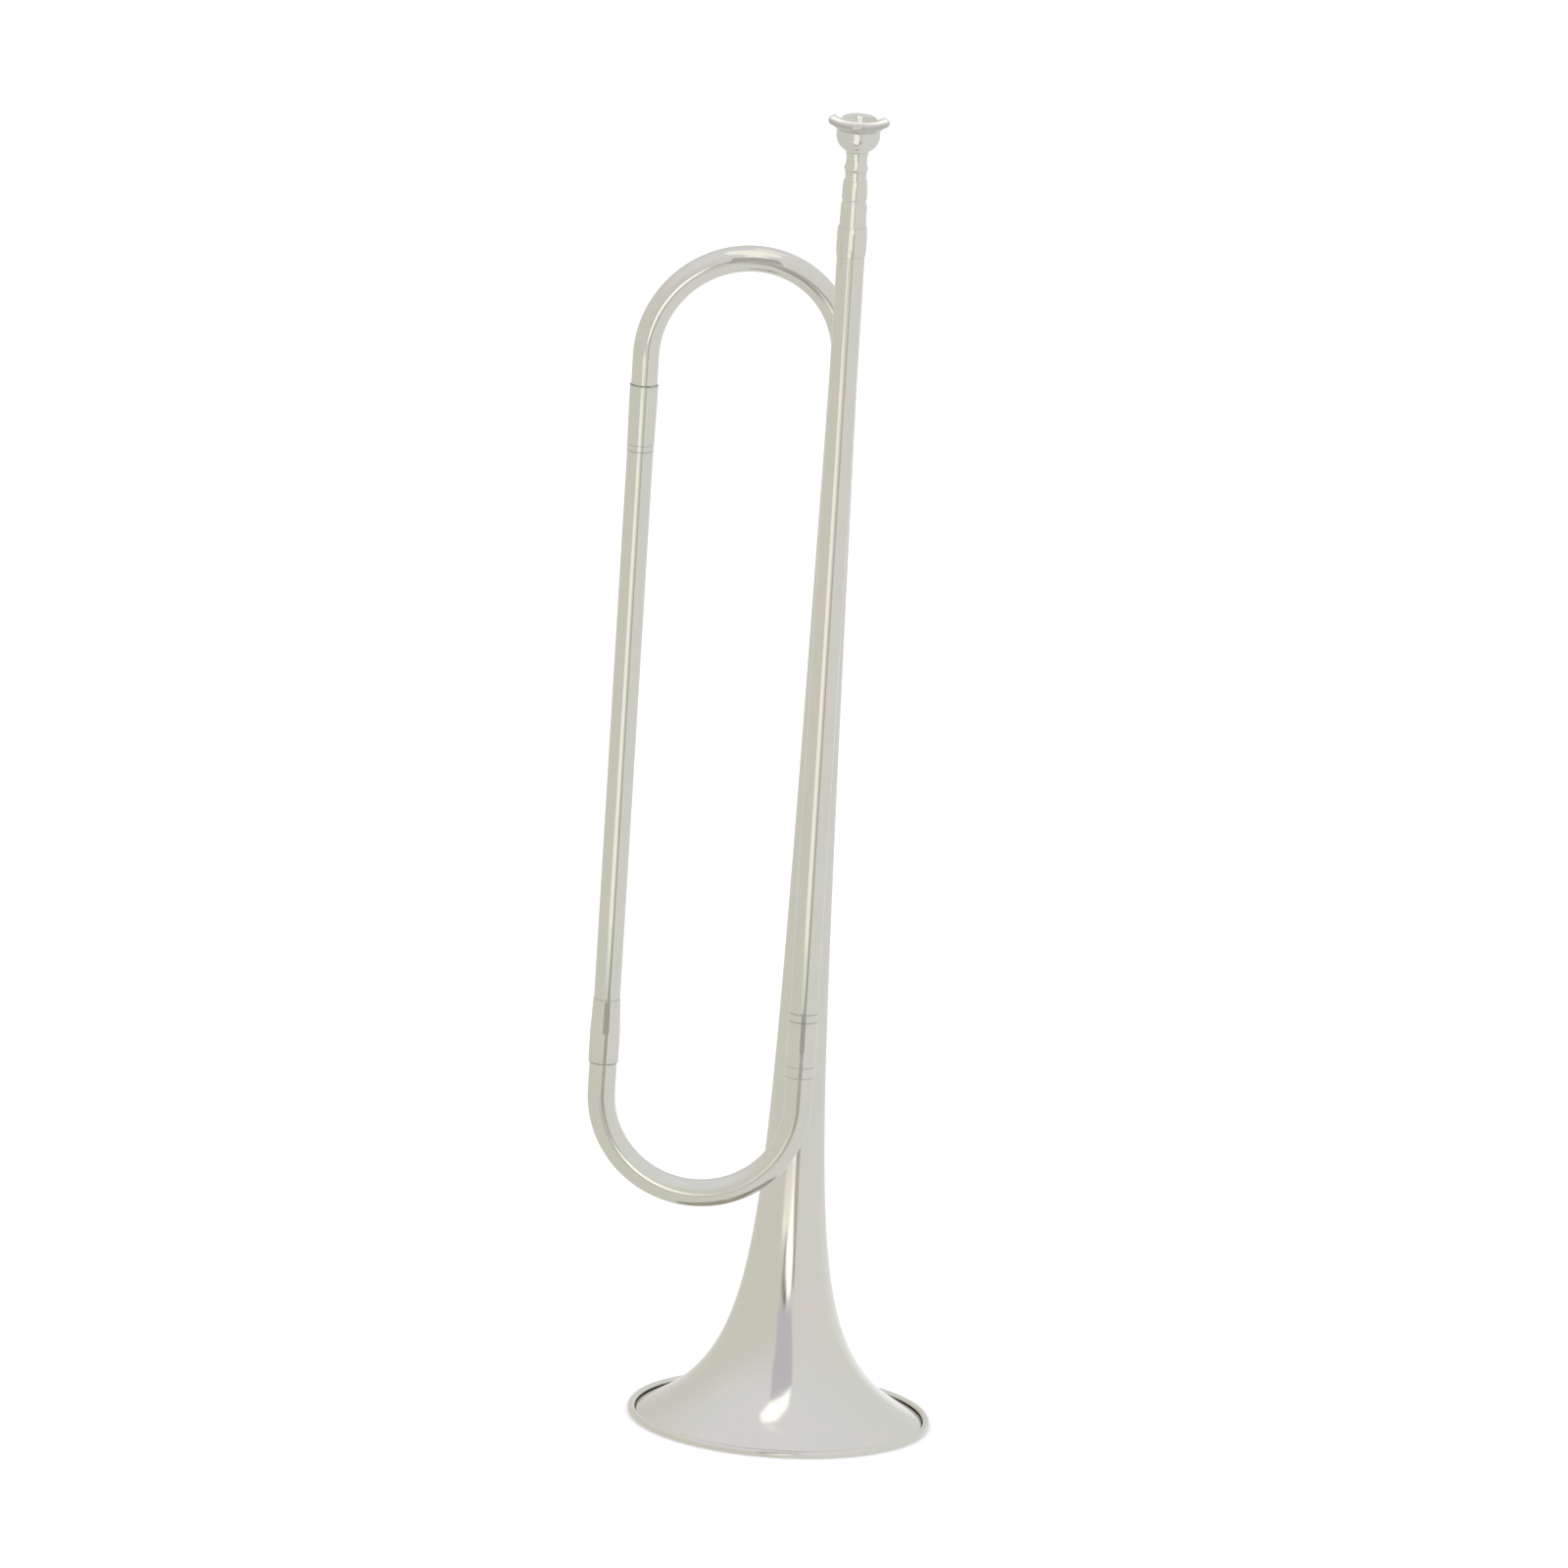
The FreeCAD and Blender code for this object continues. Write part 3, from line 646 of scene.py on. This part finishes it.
SHANK_TIP = 3.775       # radius
SHANK_TAPER = 0.025
SHANK_END = 26.7        # height
SEAT_GAP = 0.04
TIP_BORE = 3.3          # radii
NECK = 4.8
CUP = 9.15
RIM = 12.5
THROAT = 1.85
BAND_LOW = 46.2         # the grey band under the rim, darkened by painted shade lines: its foot, and its lines
BAND_STEP = 0.4
BAND_SHADE_LINES = 10
BAND_SHADE_STRENGTH = 0.45
MOUTHPIECE_LINE = 0.25

mouthpiece = places["mouthpiece"]
receiver = places["mouthpiece_receiver"]


def shank(height):
    return SHANK_TIP + SHANK_TAPER * height


shank_lines = [(28.5, 0.2), (36.6, 0.25)]
# painted shade: ten close dark lines that make the band under the rim grey
band_shade_lines = [(BAND_LOW + BAND_STEP * step, BAND_SHADE_STRENGTH) for step in range(BAND_SHADE_LINES)]
outline = closed_outline([
    # shank
    (TIP_BORE, 0),
    (SHANK_TIP, 0),
    (shank(SHANK_END), SHANK_END),
    # waist ring and waist
    (shank(SHANK_END) + 0.12, 28.2),
    (NECK, 28.9, 1.1, 1),
    (NECK, 30.4),
    (4.55, 31.3, 9.4, -1),
    (4.7, 35.8, 1.9, -1),
    # outside of the cup
    (6.0, 37.5, 7.4, 1),
    (CUP, 42.8),
    (CUP, 45.7, 8.0, -1),
    # rim
    (RIM, 48.3, 1.2, 1),
    (RIM, 50.0, 3.6, 1),
    (10.4, 51.0, 2.9, 1),
    # inside of the cup, throat and bore
    (8.1, 49.7, 9.6, -1),
    (THROAT, 41.2),
    (THROAT, 37.4),
], soften=0.12)
piece = solid_of_rings(
    "mouthpiece_turned", outline, upright(mouthpiece.axis, mouthpiece.low.z), TURNED_TURNS,
    shank_lines + band_shade_lines, MOUTHPIECE_LINE, outside_only=True,
)
fitted(piece, mouthpiece_finish, "mouthpiece", "mouthpiece_plate", "mouthpiece")

RECEIVER_TOP = 26.5     # heights
GROOVE = 17.4
COLLAR = 5.28           # radii
LIP = 4.95
GROOVE_DEPTH = 0.3
GROOVE_HALF = 0.5
TIP_ROOM = 0.2          # between the shank's tip and the step below it
passage = SHANK_TIP + 1.4
tip = mouthpiece.low.z - receiver.low.z
spigot = receiver_ferrule.high.z - receiver.low.z
outline = closed_outline([
    (passage, 0),
    (lead.radius, 0),
    (lead.radius, spigot),
    (5.6, spigot),
    (5.5, GROOVE - 1.6),
    (COLLAR - GROOVE_DEPTH, GROOVE - GROOVE_HALF),
    (COLLAR - GROOVE_DEPTH, GROOVE + GROOVE_HALF),
    (COLLAR, GROOVE + 1.2),
    (COLLAR, RECEIVER_TOP - 3),
    (LIP, RECEIVER_TOP, 0.28, 1),
    (shank(RECEIVER_TOP - tip) + SEAT_GAP, RECEIVER_TOP - 0.1),
    (shank(-TIP_ROOM) + SEAT_GAP, tip - TIP_ROOM),
    (passage, tip - TIP_ROOM),
], soften=0.1)
round_piece(
    "mouthpiece_receiver", outline, receiver,
    [(spigot, 0.12), (GROOVE, 0.05), (RECEIVER_TOP, 0.12)], fitting_finish, "fitting_plate",
    RECEIVER_TURNS,
)


# Bell

STEM_RADIUS = 5.55
TAPER = 0.0106
CURVE_HEIGHT = 457
FLARE_SCALE = 62.5
FLARE_POWER = 2.62
WIRE_RADIUS = 1.0
LAND_DEPTH = 0.05       # how deep the curl is flattened where it stands on the floor
CURL_END = 172          # degrees round the wire
FLARE_STEPS = 110
STEM_STEPS = 90
WIRE_STEPS = 32

flare = places["bell_flare"]
seam = flare.high.z
shoulder = right_ferrule.low.z
curl_radius = WIRE_RADIUS + WALL
curl_across = flare.radius - curl_radius
curl_height = curl_radius - LAND_DEPTH


def stem_part(height):
    return STEM_RADIUS + TAPER * (CURVE_HEIGHT - height)


def flare_factor(height):
    return (1 + height / FLARE_SCALE) ** -FLARE_POWER


def slope_at(height, strength):
    falling = FLARE_POWER * strength / FLARE_SCALE / (1 + height / FLARE_SCALE)
    return -TAPER - falling * flare_factor(height)


def meet_curl():
    """Where the wall runs into the rim's curl: its lean, the height and the strength of flare."""
    lean = math.radians(25)
    for _ in range(30):
        across = curl_across - WIRE_RADIUS * math.sin(lean)
        height = curl_height - WIRE_RADIUS * math.cos(lean)
        strength = (across - stem_part(height)) / flare_factor(height)
        lean = math.atan(-1 / slope_at(height, strength))
    return lean, height, strength


rim_lean, sheet_end, flare_strength = meet_curl()


def bell_point(height, offset=0.0):
    slope = slope_at(height, flare_strength)
    along = math.hypot(1, slope)
    radius = stem_part(height) + flare_strength * flare_factor(height)
    return radius + offset / along, height - offset * slope / along


def bell_curve(low, high, offset, steps):
    """Points from low to high, closer where the bell turns faster; the last point is left out."""
    ratio = (FLARE_SCALE + high) / (FLARE_SCALE + low)
    shares = [step / steps for step in range(steps)]
    heights = [(FLARE_SCALE + low) * ratio ** share - FLARE_SCALE for share in shares]
    return [bell_point(height, offset) for height in heights]


def around_curl(radius, degrees):
    angle = math.radians(degrees)
    return curl_across + radius * math.cos(angle), curl_height + radius * math.sin(angle)


def curl_curve(radius, begin, end, steps):
    return [around_curl(radius, begin + (end - begin) * step / steps) for step in range(steps)]


land = math.degrees(math.acos(curl_height / curl_radius))
joint = -90 - math.degrees(rim_lean)
outline = closed_outline([
    bell_curve(seam, sheet_end, -WALL, FLARE_STEPS),
    curl_curve(curl_radius, joint, -90 - land, 5),
    around_curl(curl_radius, -90 - land),
    curl_curve(curl_radius, -90 + land, CURL_END, 60),
    around_curl(curl_radius, CURL_END),
    curl_curve(WIRE_RADIUS, CURL_END, joint, 48),
    bell_curve(sheet_end, seam, 0, FLARE_STEPS),
    bell_point(seam),
], soften=0.0)
piece = solid_of_rings("bell_flare_plated", outline, upright((0, 0)), BELL_TURNS)
fitted(piece, bell_finish, "horn", "bell_plate", "bell_flare")

neck = side.radius
inner_shoulder = shoulder - 3 * WALL
outline = closed_outline([
    bell_curve(seam, shoulder, 0, STEM_STEPS),
    bell_point(shoulder),
    (neck, shoulder),
    (neck, stem.high.z),
    (neck - WALL, stem.high.z),
    (neck - WALL, shoulder),
    bell_curve(inner_shoulder, seam, -WALL, STEM_STEPS),
    bell_point(seam, -WALL),
], soften=0.0)
piece = solid_of_rings("bell_stem_plated", outline, upright((0, 0)), TURNED_TURNS)
fitted(piece, bell_finish, "horn", "bell_plate", "bell_stem")

outline = [Vector(around_curl(WIRE_RADIUS, 360 * step / WIRE_STEPS)) for step in range(WIRE_STEPS)]
piece = solid_of_rings("bell_rim_wire_drawn", outline, upright((0, 0)), BELL_TURNS)
fitted(piece, wire_shade_finish, "horn", "rim_wire", "bell_rim_wire")


# Braces: the CAD's feet and posts stay, with a better finish

for node, item in frame["nodes"].items():
    if "brace" in node:
        for index in range(len(item.data.materials)):
            item.data.materials[index] = brace_finish


# Studio: a plain pale floor in white surroundings, and cards that only reflections see

FLOOR_REACH = 40.0      # metres
FLOOR_TONE = 0.93
FLOOR_GLOW = 0.12

floor_mesh = bpy.data.meshes.new("studio_floor")
corner_signs = ((-1, -1), (1, -1), (1, 1), (-1, 1))
floor_corners = [(x * FLOOR_REACH, y * FLOOR_REACH, 0) for x, y in corner_signs]
floor_mesh.from_pydata(floor_corners, [], [(0, 1, 2, 3)])
floor = bpy.data.objects.new("studio_floor", floor_mesh)
bpy.context.scene.collection.objects.link(floor)
floor.visible_glossy = False
material = bpy.data.materials.new("studio_floor")
material.use_nodes = True
shader = material.node_tree.nodes["Principled BSDF"]
shader.inputs["Base Color"].default_value = (FLOOR_TONE, FLOOR_TONE, FLOOR_TONE, 1)
shader.inputs["Roughness"].default_value = 0.9
shader.inputs["Specular IOR Level"].default_value = 0.0
shader.inputs["Emission Color"].default_value = (1, 1, 1, 1)
shader.inputs["Emission Strength"].default_value = FLOOR_GLOW
floor_mesh.materials.append(material)


WORLD_LEFT = (0.985, 0.990, 0.955)
WORLD_RIGHT = (1.07, 1.085, 1.11)
WORLD_TOP = (1.105, 1.12, 1.21)
WORLD_BACK = (1.22, 1.24, 1.26)
STRIP = (2.0, 2.0, 2.05)
OUTLINE = (0.45, 0.44, 0.42)
STRIP_FOOT = -9.5       # degrees; azimuths count from the front, to the right
STRIP_TOP = 8.8
STRIP_EDGE = 1.2


def studio_world():
    """White surroundings: warmer at the left, cooler at the right and overhead, brighter at the
    back, with the bright strip that shows in the bell and a dark outline on each side of it."""
    world = bpy.data.worlds.new("studio")
    bpy.context.scene.world = world
    world.use_nodes = True
    tree = world.node_tree
    background = tree.nodes["Background"]
    way = tree.nodes.new("ShaderNodeTexCoord").outputs["Generated"]
    x, y, z = parts_of(tree, way)
    degree = 180 / math.pi
    azimuth = x.op("ARCTAN2", y * -1.0) * degree
    elevation = z.op("ARCSINE") * degree
    colour = blend(tree, x.ramp(-0.25, 0.45), WORLD_LEFT, WORLD_RIGHT)
    colour = blend(tree, elevation.ramp(15.0, 62.0), colour, WORLD_TOP)
    behind = azimuth.ramp(95.0, 165.0) * elevation.window(-11.0, 6.0, 3.0)
    colour = blend(tree, behind, colour, WORLD_BACK)

    strip_left = elevation.ramp(-1.0, 10.0, -7.0, 1.0)
    strip_right = elevation.ramp(-8.0, 0.0, 6.0, 13.0) - elevation.ramp(3.0, 10.0, 0.0, 3.0)
    from_left = azimuth - strip_left
    from_right = azimuth - strip_right
    inside_left = from_left.ramp(-STRIP_EDGE, STRIP_EDGE)
    strip = inside_left * from_right.ramp(-STRIP_EDGE, STRIP_EDGE, 1.0, 0.0)
    colour = blend(tree, strip * elevation.window(STRIP_FOOT, STRIP_TOP, 1.0), colour, STRIP)
    right_side = from_right.window(1.5, 6.5, 1.0) * elevation.window(STRIP_FOOT, 6.0, 1.5)
    colour = blend(tree, right_side, colour, OUTLINE)
    left_side = from_left.window(-6.0, -1.5, 1.0) * elevation.window(STRIP_FOOT, 3.0, 1.5)
    colour = blend(tree, left_side * 0.8, colour, OUTLINE)
    tree.links.new(colour, background.inputs["Color"])
    background.inputs["Strength"].default_value = 1.0


studio_world()


def card(name, colour, shapes):
    """A studio card that shows only in the object's reflections, from its front side. A shape is
    a list of corners in millimetres."""
    points, faces = [], []
    for corners in shapes:
        faces.append(tuple(range(len(points), len(points) + len(corners))))
        points += [tuple(part * MM for part in corner) for corner in corners]
    mesh = bpy.data.meshes.new(name)
    mesh.from_pydata(points, [], faces)
    item = bpy.data.objects.new(name, mesh)
    bpy.context.scene.collection.objects.link(item)
    for ray in ("camera", "diffuse", "transmission", "volume_scatter", "shadow"):
        setattr(item, "visible_" + ray, False)
    material = bpy.data.materials.new(name)
    material.use_nodes = True
    tree = material.node_tree
    glow = tree.nodes.new("ShaderNodeEmission")
    glow.inputs["Color"].default_value = (*colour, 1)
    front_or_back = tree.nodes.new("ShaderNodeMixShader")
    side_seen = tree.nodes.new("ShaderNodeNewGeometry").outputs["Backfacing"]
    tree.links.new(side_seen, front_or_back.inputs[0])
    tree.links.new(glow.outputs[0], front_or_back.inputs[1])
    tree.links.new(tree.nodes.new("ShaderNodeBsdfTransparent").outputs[0], front_or_back.inputs[2])
    tree.links.new(front_or_back.outputs[0], tree.nodes["Material Output"].inputs["Surface"])
    mesh.materials.append(material)


FLOOR_CARDS = 1         # heights of the flat cards
ARCH_CARD = 520
CANOPY = 90


def floor_band(edges):
    """A band on the floor in front of the object, from rows of (distance, left, right)."""
    quads = []
    for near, far in zip(edges, edges[1:]):
        corners = [(far[1], far[0]), (far[2], far[0]), (near[2], near[0]), (near[1], near[0])]
        quads.append([(x, -distance, FLOOR_CARDS) for x, distance in corners])
    return quads


def standing(left, right, y, low, high):
    """An upright rectangle across the object, with its front side to the object."""
    return [(right, y, low), (left, y, low), (left, y, high), (right, y, high)]


def canopy(corners):
    """A flat shape in front of the flare, just below the lower bow, with its front side down."""
    points = [(x, y, CANOPY) for x, y in corners]
    turn = sum(a[0] * b[1] - b[0] * a[1] for a, b in zip(points, points[1:] + points[:1]))
    return points if turn < 0 else points[::-1]


FAR_EDGE = 2250         # distances of the floor bands from the object
FAR = 1950
MIDDLE = 1570
NEAR = 1060
NEAR_EDGE = 760

BRIGHT = (1.5, 1.5, 1.46)
WHITE = (2.1, 2.1, 2.1)
FAINT = (0.70, 0.69, 0.67)
DIM = (0.58, 0.565, 0.55)
DOORWAY = (0.815, 0.80, 0.93)
DARK = (0.66, 0.65, 0.66)
BLACK = (0.07, 0.07, 0.07)

# the bright line and the dark line beside it, down the straight tubes
card("studio_floor_bright", BRIGHT, floor_band([
    (NEAR_EDGE, -430, 20), (NEAR, -490, 0), (MIDDLE, -720, -60), (FAR, -900, -90),
]) + floor_band([(FAR, -760, -430), (FAR_EDGE, -860, -500)]))
card("studio_floor_dim", DIM, floor_band([
    (410, -260, 60), (520, -100, 110), (600, -100, 170), (700, -90, 260), (NEAR_EDGE, 100, 310),
]))
card("studio_floor_faint", FAINT, floor_band([
    (NEAR_EDGE, 100, 310), (NEAR, 160, 400), (MIDDLE, 290, 600), (FAR_EDGE, 430, 850),
]))

# the bright line on the mouthpiece and its receiver; the highlight and dark band on the upper bow
card("studio_panel", BRIGHT, [standing(-20, 6, -80, 497, 610)])
card("studio_arch_light", BRIGHT, [[(x, y, ARCH_CARD) for x, y in (
    (-56, -14), (-52, -11), (-44, -12), (-34, -11), (-20, -12),
    (-14, -19), (-18.5, -25), (-28, -28), (-38, -28), (-50, -23),
)]])
card("studio_arch_dark", DARK, [standing(-46, -20, -27, 496, 508)])

# the two sleeves: plain, with a dark line down the middle
card("studio_socket_plain", WORLD_LEFT, [
    standing(-97, -85.3, -29, 165.5, 180), standing(-14, -2.6, -33, 163.6, 180.6),
])
card("studio_socket_dim", DIM, [
    standing(-85.3, -76.5, -29, 165.5, 180), standing(-2.6, 4, -33, 163.6, 180.6),
])

# the bright top of the mouthpiece's rim
card("studio_back_panel", WHITE, [[(-24, 10, 573), (24, 10, 573), (24, 10, 606), (-24, 10, 606)]])

# in the flare: the doorway, the bright patch at its foot, and the black wedge over it
card("studio_doorway", DOORWAY, [canopy([
    (-54, -193), (47, -195), (38, -126), (28, -89),
    (23, -77), (-14, -63.5), (-22, -89), (-28, -126),
])])
card("studio_window", WHITE, [canopy([
    (23, -77), (18, -72), (12, -61), (-3, -50), (-18, -46), (-24, -50.5), (-14, -63.5),
])])
card("studio_gap", BLACK, [canopy([
    (-110, -425), (-5, -280), (8, -205), (-15, -205), (-62, -276),
])])

# pieces that the others don't mirror, by words in their names; no card has any of these words
QUIET = (
    "tube", "bow", "sleeve", "leadpipe", "bell_stem", "ferrule", "brace", "mouthpiece_turned",
    "receiver",
)
for item in bpy.context.scene.objects:
    if item.type == "MESH" and any(word in item.name for word in QUIET):
        item.visible_glossy = False


# Camera: a long lens that looks down at the object a little, and is rolled a little

ELEVATION = math.radians(14.3)
ROLL = math.radians(3.55)
DISTANCE = 12.0
FRAME_WIDTH = 0.6544
AIM = Vector((-0.01408, 0.0, 0.27404))

camera_data = bpy.data.cameras.new("camera")
camera_data.sensor_width = 36
camera_data.lens = DISTANCE * camera_data.sensor_width / FRAME_WIDTH
camera_data.clip_start = 0.1
camera_data.clip_end = 200
camera = bpy.data.objects.new("camera", camera_data)
bpy.context.scene.collection.objects.link(camera)
back = Vector((0, -math.cos(ELEVATION), math.sin(ELEVATION)))
camera.location = AIM + back * DISTANCE
camera.rotation_mode = "QUATERNION"
level_view = (-back).to_track_quat("-Z", "Y")
camera.rotation_quaternion = level_view @ Quaternion((0, 0, 1), ROLL)
bpy.context.scene.camera = camera
bpy.context.scene.view_settings.view_transform = "Standard"
